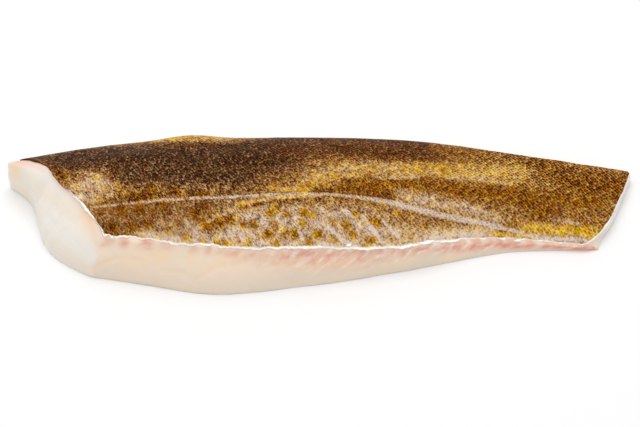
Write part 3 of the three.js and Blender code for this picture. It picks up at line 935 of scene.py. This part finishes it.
def flesh_tints(u, v, height, depth, along, seams):
    """Shares of pink, milky white, membranes and peach, as bells and steps of the place on the flesh's side.

    Pink lies under the skin's edge, in blobs near the head and in a band with membranes further on. Milky
    white lies in clouds on both end cuts, and also brightens them as painted light. Peach lies in a strip
    under the head's skin edge, on the lobe and its foot, at the tail's front corner, and in spots, patches
    and seams of the long cuts; at the seams it is painted shade in their grooves."""
    long_cuts = on_long_cuts(v)
    deep = depth / MM
    head = 1 - smoothstep(u, 0, HEAD_TINTS_END)
    tail_corner = smoothstep(u, TAIL_CORNER_FROM, 1) * bell(v, TAIL_CORNER_HALF)
    strip = two_way_bell(deep, v, STRIP) * head

    blobs = np.maximum.reduce([share * bell(u - at, half) for at, half, share in PINK_BLOBS])
    reach = deep / spline(PINK_DEPTHS, u)
    paler = PALER * (1 - smoothstep(reach, 0, PALER_WITHIN)) * smoothstep(u, *PALER_FROM)
    band = spline(PINK_SHARES, u) * mix(blobs, 1, smoothstep(u, *BLOBS_JOIN)) * np.exp(-reach ** 3)
    under_skin = bell(deep, HEAD_PINK_DEPTH) * head * mix(*HEAD_PINK, smoothstep(v, *HEAD_PINK_RISE))
    pink = np.maximum.reduce((
        band * (1 - paler) * long_cuts, under_skin, PINK["strip"] * strip,
        PINK["tail corner"] * tail_corner * bell(deep, TAIL_CORNER_PINK)))

    # Milky white of the end cuts, partly their own colour and partly painted light that brightens them.
    head_face = 1 - smoothstep(u + rough(along, 3 * depth, MILKY_LIT_EDGE), *MILKY_LIT_HEAD_END)
    head_corner = bell(v, HEAD_CORNER_HALF) * (1 - smoothstep(height, *HEAD_CORNER_TOP))
    tail_face = smoothstep(u, MILKY_LIT_TAIL_FROM, 1) * smoothstep(v, 0, MILKY_LIT_FRONT_END)
    clouds = np.clip(CLOUD_MEAN + rough(along, depth, CLOUD_WAVES), CLOUD_LEAST, 1)
    milky_and_lit = np.maximum(head_face * (1 - MILKY_LIT_CORNER_LESS * head_corner), tail_face) * clouds

    membrane = smoothstep(u, *MEMBRANES_FROM) * (1 - MEMBRANES_LESS * smoothstep(u, *MEMBRANES_FADE))
    membrane = membrane * np.exp(-(reach / MEMBRANES_REACH) ** 3) * long_cuts

    patches = np.clip(rough(along + 2 * depth, depth, PATCH_WAVES), 0, 1)
    patches = patches * bell(deep - PATCH_DEPTH, PATCH_HALF)
    warm = np.maximum.reduce([two_way_bell(u, deep, spot) for spot in WARM_SPOTS])
    places = {
        "strip": strip, "lobe": two_way_bell(deep, v, LOBE) * head,
        "lobe foot": two_way_bell(height, v, LOBE_FOOT) * head, "patches": patches * long_cuts,
        # Peach at the seams is painted shade in their grooves.
        "warm": warm * long_cuts, "tail corner": tail_corner, "seams": seams}
    peach = np.maximum.reduce([PEACH[name] * share for name, share in places.items()])
    return pink, milky_and_lit, membrane, peach


def flesh_relief(side, u, v, height, seams, sizes):
    """How far the side stands out: soft unevenness, folds of the head cut, and grooves at the seams.

    All but the grooves fade to nothing at the skin and at the ground, as the root of a sine."""
    along, across, rise = side[..., 0] + side[..., 1], v * sizes.width, side[..., 2]
    folds = rough(across, rise / FOLD_STRETCH, HEAD_FOLDS) + rough(across, rise, HEAD_WRINKLES)
    uneven = rough(along, rise, FLESH_WAVES) + folds * (1 - smoothstep(u, 0, FOLDS_END))
    return MM * uneven * np.sqrt(np.sin(np.pi * height)) - SEAM_DEPTH * seams


def flesh_lowness(u, height):
    """How low a place on the side counts for its painted shade: 0 at the skin and 1 at the foot."""
    facet = FACET_SHARE * smoothstep(FACET_FOOT + FACET_SLOPE * u - height, *FACET_EDGE)
    facet = facet * (1 - smoothstep(u, *FACET_END))
    return np.clip((1 - height) * mix(1, FOOT_SHADE_HIGHER, smoothstep(u, *FOOT_SHADE_RISE)), facet, 1)


def make_flesh(sizes, colours):
    """A shell of the flesh: top under the skin, swelling sides with seams and folds, and flat underside."""
    columns, rows, side_rows = FLESH_GRID
    u, v = rounded_tail(*grid(columns, rows), sizes)
    edge = border(columns, rows)
    edge_u, edge_v = (round_edge(share, edge, side_rows) for share in (u, v))
    drop = np.linspace(0, 1, side_rows + 2)[1:-1, None]
    height = np.repeat((1 + np.cos(np.pi * drop)) / 2, len(edge), 1)
    top = skin_base(u, v, sizes) - (0, 0, sizes.skin + FLESH_GAP)
    side = flesh_side(edge_u, edge_v, height, sizes)
    ground = ground_contact(*rounded_head(u, v, 1, sizes), sizes)
    base = np.concatenate((ground, np.zeros((*u.shape, 1))), -1)

    # Where each point lies: along the cuts (x and y added), below the skin, and how near the foot.
    blank = np.zeros(u.shape)
    depth = top.reshape(-1, 3)[edge, 2] - side[..., 2]
    top_along, along, base_along = (sheet[..., 0] + sheet[..., 1] for sheet in (top, side, base))
    lowness = flesh_lowness(edge_u, height)
    places = np.stack((joined(top_along, along, base_along) / MM, joined(blank, depth, blank) / MM,
                       joined(blank, lowness, blank + 1)), -1)
    seams = flake_seams(edge_u, edge_v, height, sizes)
    top_tints = flesh_tints(u, v, blank + 1, blank, top_along, blank)
    side_tints = flesh_tints(edge_u, edge_v, height, depth, along, seams)
    tints = np.stack([joined(above, beside, blank) for above, beside in zip(top_tints, side_tints)], -1)

    relief = flesh_relief(side, edge_u, edge_v, height, seams, sizes)
    side[..., :2] += relief[..., None] * outwards(edge_u, edge_v, sizes)
    points, quads = shell(top, side, base)
    attributes = {"tints": tints, "place_mm": places}
    return new_piece("cod_flesh", points, quads, attributes, raw_cod_material(sizes, colours))


# Bands of membrane: the period of a wave texture of scale 1, how the bands bend, and how strong they are.
WAVE_PERIOD = math.pi / 10
BAND_BENDS = {"Distortion": 7.0, "Detail": 2.0, "Detail Scale": 1.2}
BAND_EDGE = (0.45, 1.0)
BAND_MOST = 0.5
# Patches that break up the bands and weaken the pink, with their size in millimetres.
BREAK_SIZE = 3
BREAK_EDGE = (0.35, 0.62)
BREAK_PINK = -0.6
# Painted shade towards the foot, and the fine grain of the flesh in millimetres.
FOOT_SHADE_FROM = 0.35
FOOT_SHADE_MOST = 0.8
GRAIN_SIZE = 2.5
GRAIN_HEIGHT = 0.3 * MM


def raw_cod_material(sizes, colours):
    """Raw cod flesh, cut with a knife: moist, slightly see-through cream, with pink flakes under the skin."""
    material, node = new_material("knife_cut_raw_cod")
    place = node("Attribute", attribute_name="place_mm")["Vector"]
    low = node("SeparateXYZ", {0: place})["Z"]
    tints = node("Attribute", attribute_name="tints")
    pink, milky_and_lit, membrane = node("SeparateColor", {0: tints["Color"]})
    peach = tints["Alpha"]

    # Membranes between the flakes: thin white bands that lean towards the tail as they rise.
    lean = {0: place, "Rotation": (0, 0, FLAKE_TURN), "Scale": (1, FLAKE_STRETCH, 1)}
    leaning = node("Mapping", lean, vector_type="TEXTURE")[0]
    wave_scale = WAVE_PERIOD / (sizes.flake_pitch / MM * math.cos(FLAKE_TURN))
    wave = node("TexWave", {"Vector": leaning, "Scale": wave_scale, **BAND_BENDS})["Fac"]
    line = node("MapRange", {0: wave, 1: BAND_EDGE[0], 2: BAND_EDGE[1], 3: 0.0, 4: BAND_MOST})[0]
    line = node("Math", {0: line, 1: membrane}, operation="MULTIPLY")[0]
    breaks = node("TexNoise", {"Vector": leaning, "Scale": 1 / BREAK_SIZE, "Detail": 3.0})[0]
    breaks = node("MapRange", {0: breaks, 1: BREAK_EDGE[0], 2: BREAK_EDGE[1]})[0]
    line = node("Math", {0: line, 1: breaks}, operation="MULTIPLY")[0]
    blood = node("Math", {0: breaks, 1: BREAK_PINK, 2: 1.0}, operation="MULTIPLY_ADD")[0]
    pink = node("Math", {0: pink, 1: blood}, operation="MULTIPLY")[0]
    # Painted shade: the flesh darkens towards the foot.
    low = node("MapRange", {0: low, 1: FOOT_SHADE_FROM, 2: 1.0, 3: 0.0, 4: FOOT_SHADE_MOST})[0]

    # The tints lie over each other on the cream. The first is painted shade that darkens the flesh towards
    # the foot, and the second is partly painted light that whitens the end cuts.
    body = (*colours.cream, 1)
    tinted = ((low, colours.shaded_beige), (milky_and_lit, colours.milky_and_lit), (peach, colours.peach), (pink, colours.pink),
              (line, colours.membrane))
    for share, tint in tinted:
        layers = {0: share, MIX_FIRST: body, MIX_SECOND: (*tint, 1)}
        body = node("Mix", layers, data_type="RGBA")[MIX_RESULT]
    grain = node("TexNoise", {"Vector": place, "Scale": 1 / GRAIN_SIZE, "Detail": 4.0})[0]
    bump = node("Bump", {"Strength": 0.25, "Distance": GRAIN_HEIGHT, "Height": grain})[0]
    shader = node("BsdfPrincipled", {
        "Base Color": body, "Roughness": 0.38, "IOR": 1.38, "Normal": bump, "Subsurface Weight": 0.3,
        "Subsurface Radius": (1.0, 0.55, 0.35), "Subsurface Scale": 4 * MM})[0]
    node("OutputMaterial", {0: shader})
    return material


# Torn scraps

# Scraps of membrane along the front cut: share along it, millimetres in over the skin, length and width in
# millimetres, turn in degrees and how far round they curl in degrees. Their tips keep a share of the width.
SCRAPS = ((0.04, 0.3, 3.6, 2.2, 10, 250), (0.455, -0.8, 4.5, 1.6, -20, 70), (0.475, -1.2, 5, 2, 15, 90),
          (0.5, -0.6, 3, 1.4, -35, 60), (0.55, 2, 4.5, 3, 60, 40), (0.685, 0.2, 11, 3, 8, 35),
          (0.3, -0.4, 3.2, 1.2, 20, 80), (0.86, -0.4, 5, 1.3, 10, 60))
SCRAP_GRID = (14, 5)
SCRAP_THICKNESS = 0.3 * MM
SCRAP_TIP = 0.15


def make_scraps(sizes, colours):
    """Small bent leaves with pointed ends: each is an arc along its length, closed to a thin shell."""
    along, across = grid(*SCRAP_GRID)
    parts = []
    for share, inset, long, wide, turn, curl in SCRAPS:
        over = max(inset, 0) + spline(FRONT_SHIFTS, share)
        seat = skin_base(np.array(share), np.array(over * MM / sizes.width), sizes)
        seat += (0, min(inset, 0) * MM, SCRAP_THICKNESS)
        bend = np.radians(curl) * (along - 0.5)
        radius = long * MM / np.radians(curl)
        reach, rise = radius * np.sin(bend), radius * (1 - np.cos(bend))
        side = (across - 0.5) * wide * MM * mix(SCRAP_TIP, 1, np.sin(np.pi * along))
        cos, sin = np.cos(np.radians(turn)), np.sin(np.radians(turn))
        leaf = np.stack((reach * cos - side * sin, reach * sin + side * cos, rise), -1) + seat
        under = leaf - (0, 0, SCRAP_THICKNESS)
        rim = leaf.reshape(-1, 3)[border(*SCRAP_GRID)] - (0, 0, SCRAP_THICKNESS / 2)
        parts.append(shell(leaf, rim[None], under))
    starts = np.cumsum([0] + [len(points) for points, _ in parts])
    points = np.concatenate([points for points, _ in parts])
    quads = np.concatenate([quads + start for (_, quads), start in zip(parts, starts)])
    return new_piece("membrane_scraps", points, quads, {}, membrane_material(colours))


def membrane_material(colours):
    """Torn membrane: thin, white and moist, with light that comes through."""
    material, node = new_material("torn_fish_membrane")
    shader = node("BsdfPrincipled", {
        "Base Color": (*colours.membrane, 1), "Roughness": 0.35, "Subsurface Weight": 0.4,
        "Subsurface Scale": 1 * MM})[0]
    node("OutputMaterial", {0: shader})
    return material


# Stage

CAMERA_TARGET = Vector((0, -0.010, 0.020))
CAMERA_DISTANCE = 1.15
CAMERA_ELEVATION = math.radians(45)
CAMERA_LENS = 104.8
FLOOR_HALF = 4.0
FLOOR_GREY = 0.86
SURROUNDINGS_STRENGTH = 0.8
SOFTBOX_PLACE = Vector((-0.15, 0.25, 1.4))
SOFTBOX_SIZE = 1.2
SOFTBOX_POWER = 10


def make_floor():
    """A plain white square at height zero, where the loin's underside lies."""
    corners = np.array(((-1, -1, 0), (1, -1, 0), (1, 1, 0), (-1, 1, 0)), float) * FLOOR_HALF
    material, node = new_material("matt_white_board")
    white = (FLOOR_GREY, FLOOR_GREY, FLOOR_GREY, 1)
    shader = node("BsdfPrincipled", {"Base Color": white, "Roughness": 0.9, "Specular IOR Level": 0.1})[0]
    node("OutputMaterial", {0: shader})
    return new_piece("floor", corners, np.array(((0, 1, 2, 3),)), {}, material)


def make_softbox():
    """A square soft light that points at the loin."""
    data = bpy.data.lights.new("softbox", "AREA")
    data.size = SOFTBOX_SIZE
    data.energy = SOFTBOX_POWER
    light = bpy.data.objects.new("softbox", data)
    light.location = SOFTBOX_PLACE
    light.rotation_euler = (CAMERA_TARGET - SOFTBOX_PLACE).to_track_quat("-Z", "Y").to_euler()
    bpy.context.scene.collection.objects.link(light)


def make_stage():
    """White floor, white surroundings, one large soft light from above and behind, and the camera."""
    scene = bpy.context.scene
    floor = make_floor()
    world = bpy.data.worlds.new("white_studio")
    world.use_nodes = True
    background = world.node_tree.nodes["Background"]
    background.inputs["Color"].default_value = (1, 1, 1, 1)
    background.inputs["Strength"].default_value = SURROUNDINGS_STRENGTH
    scene.world = world
    make_softbox()
    camera_data = bpy.data.cameras.new("camera")
    camera_data.lens = CAMERA_LENS
    camera = bpy.data.objects.new("camera", camera_data)
    back = Vector((0, -math.cos(CAMERA_ELEVATION), math.sin(CAMERA_ELEVATION)))
    camera.location = CAMERA_TARGET + back * CAMERA_DISTANCE
    camera.rotation_euler = (-back).to_track_quat("-Z", "Y").to_euler()
    scene.collection.objects.link(camera)
    scene.camera = camera
    scene.view_settings.view_transform = "Standard"


# Add-on


class LOIN_OT_flesh(bpy.types.Operator):
    """Makes the loin's flesh in place of its solid"""

    bl_idname = "loin.flesh"
    bl_label = "Make flesh"

    def execute(self, context):
        piece = make_flesh(context.scene.loin_sizes, context.scene.loin_colours)
        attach(piece, "root")
        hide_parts("flesh")
        return {"FINISHED"}


class LOIN_OT_skin(bpy.types.Operator):
    """Makes the loin's skin in place of its solid"""

    bl_idname = "loin.skin"
    bl_label = "Make skin"

    def execute(self, context):
        piece = make_skin(context.scene.loin_sizes, context.scene.loin_colours)
        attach(piece, "root")
        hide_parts("skin")
        return {"FINISHED"}


class LOIN_OT_scraps(bpy.types.Operator):
    """Makes the torn scraps of membrane along the front cut"""

    bl_idname = "loin.scraps"
    bl_label = "Make scraps"

    def execute(self, context):
        piece = make_scraps(context.scene.loin_sizes, context.scene.loin_colours)
        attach(piece, "root")
        return {"FINISHED"}


class LOIN_OT_stage(bpy.types.Operator):
    """Makes the floor, the light and the camera"""

    bl_idname = "loin.stage"
    bl_label = "Make stage"

    def execute(self, context):
        make_stage()
        return {"FINISHED"}


class LOIN_PT_panel(bpy.types.Panel):
    """Lists the loin's sizes, colours and pieces"""

    bl_idname = "LOIN_PT_panel"
    bl_label = "Cod loin"
    bl_space_type = "VIEW_3D"
    bl_region_type = "UI"
    bl_category = "Cod loin"

    def draw(self, context):
        for group in (context.scene.loin_sizes, context.scene.loin_colours):
            for key in group.__annotations__:
                self.layout.prop(group, key)
        for operator in OPERATORS:
            self.layout.operator(operator.bl_idname)


OPERATORS = (LOIN_OT_flesh, LOIN_OT_skin, LOIN_OT_scraps, LOIN_OT_stage)
CLASSES = (LoinSizes, LoinColours, *OPERATORS, LOIN_PT_panel)


def register():
    for cls in CLASSES:
        bpy.utils.register_class(cls)
    bpy.types.Scene.loin_sizes = bpy.props.PointerProperty(type=LoinSizes)
    bpy.types.Scene.loin_colours = bpy.props.PointerProperty(type=LoinColours)


def unregister():
    del bpy.types.Scene.loin_colours
    del bpy.types.Scene.loin_sizes
    for cls in reversed(CLASSES):
        bpy.utils.unregister_class(cls)


def main():
    register()
    bpy.ops.loin.flesh()
    bpy.ops.loin.skin()
    bpy.ops.loin.scraps()
    bpy.ops.loin.stage()


if __name__ == "__main__":
    main()
